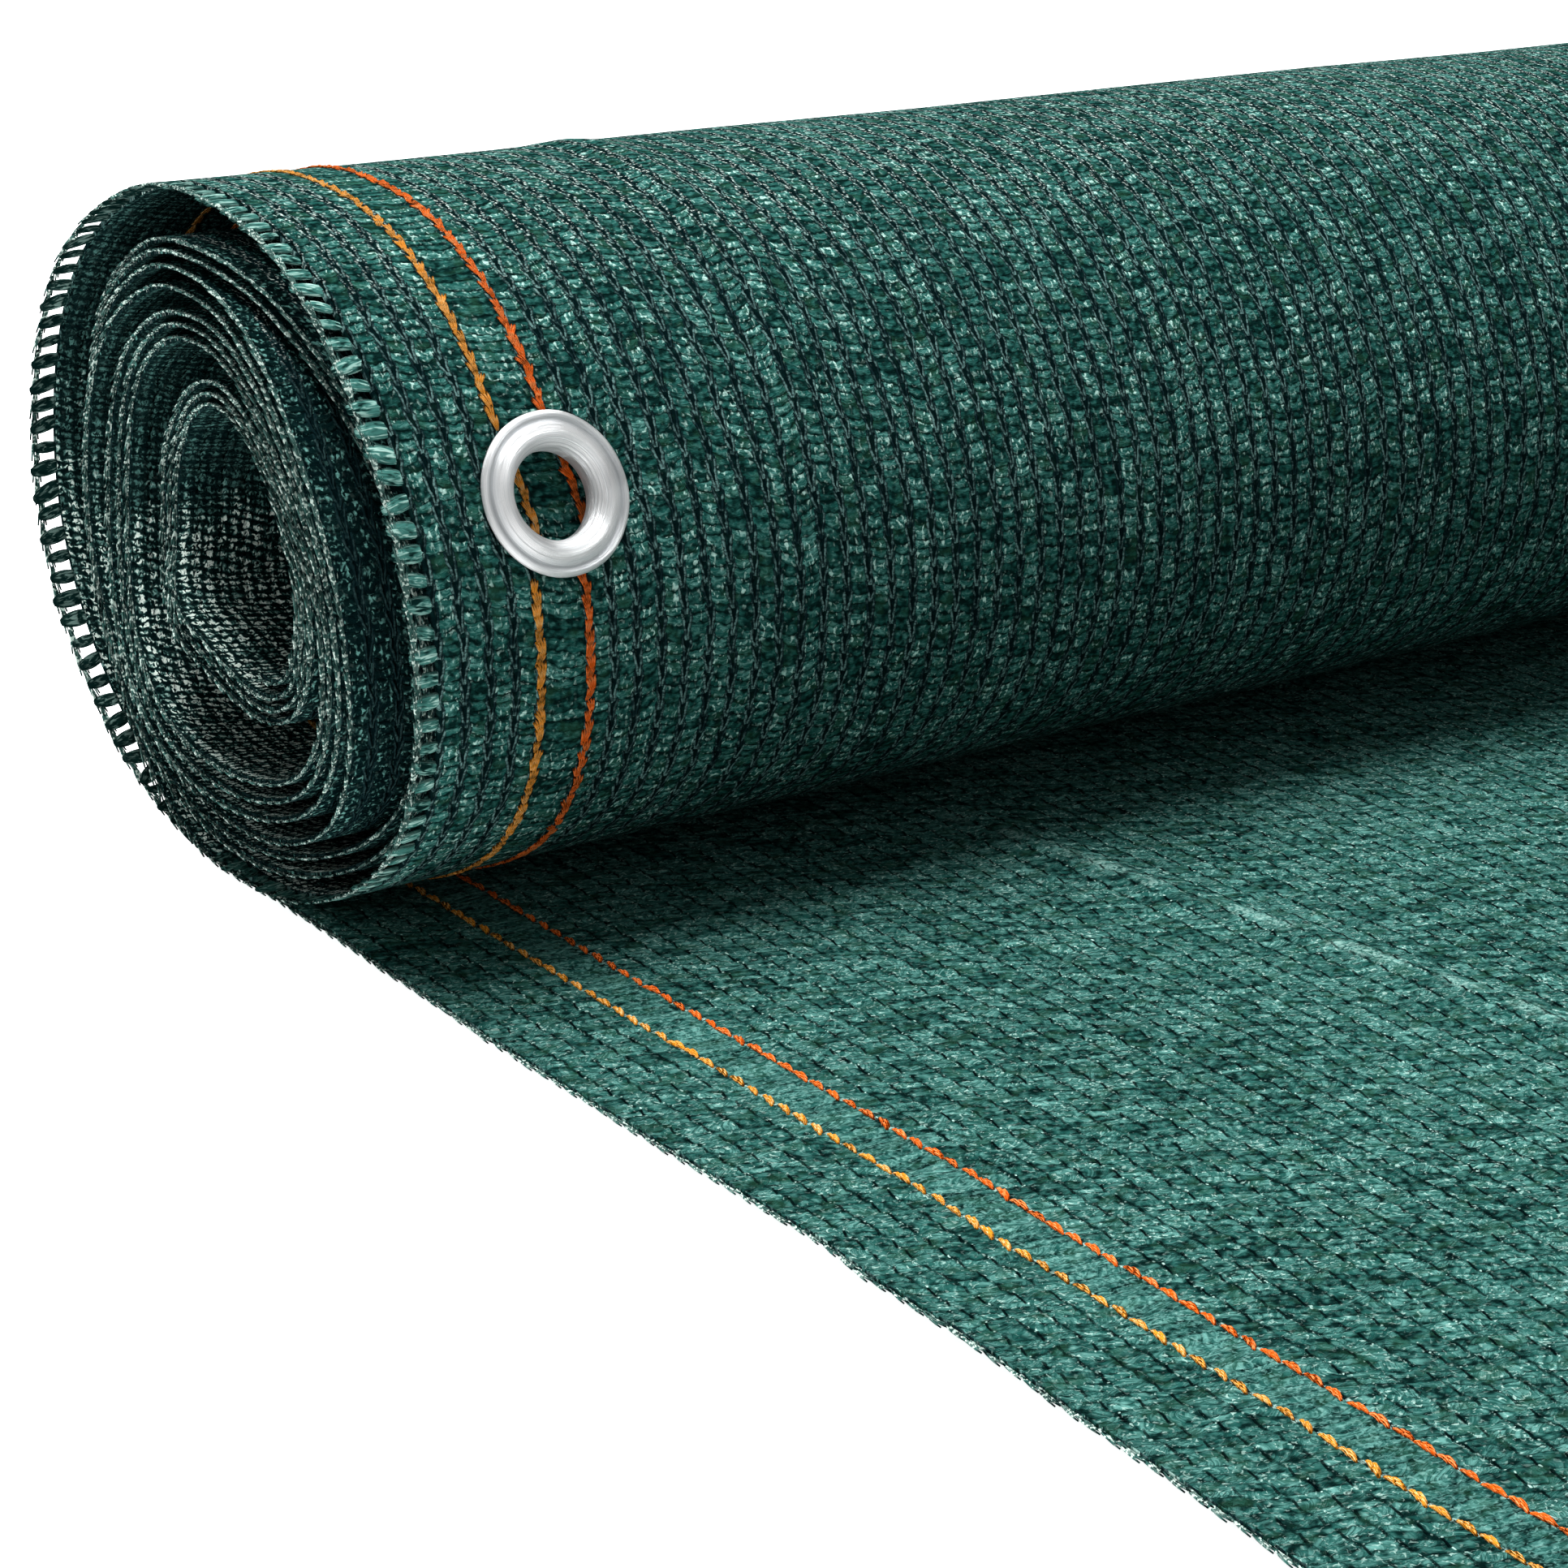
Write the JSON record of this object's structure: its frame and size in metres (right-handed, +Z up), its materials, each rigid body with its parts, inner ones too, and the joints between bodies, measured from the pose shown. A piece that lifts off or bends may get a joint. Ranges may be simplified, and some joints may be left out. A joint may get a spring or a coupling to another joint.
{
  "type": "privacy screen netting roll",
  "caption": "Knitted privacy screen netting, partly unrolled: an oval roll with staggered turns, a flat loose end, coloured stripes and metal eyelets along its selvedges.",
  "frame": {"origin": "centre of the whole part's plan, on the surface that the netting rests on", "axes": "+X along the roll from its near end to its far end, +Y from the loose end's cut edge towards the roll, +Z up"},
  "size_m": [0.7618, 0.3084, 0.0903],
  "materials": {
    "netting": "knitted polyethylene tape, semi-gloss, deep teal green",
    "eyelet_metal": "bright pressed metal"
  },
  "bodies": {
    "root": {"netting_roll": "netting", "loose_end": "netting", "eyelet_patch_near": "netting", "eyelet_patch_far": "netting", "eyelet_near": "eyelet_metal", "eyelet_far": "eyelet_metal"}
  },
  "joints": []
}
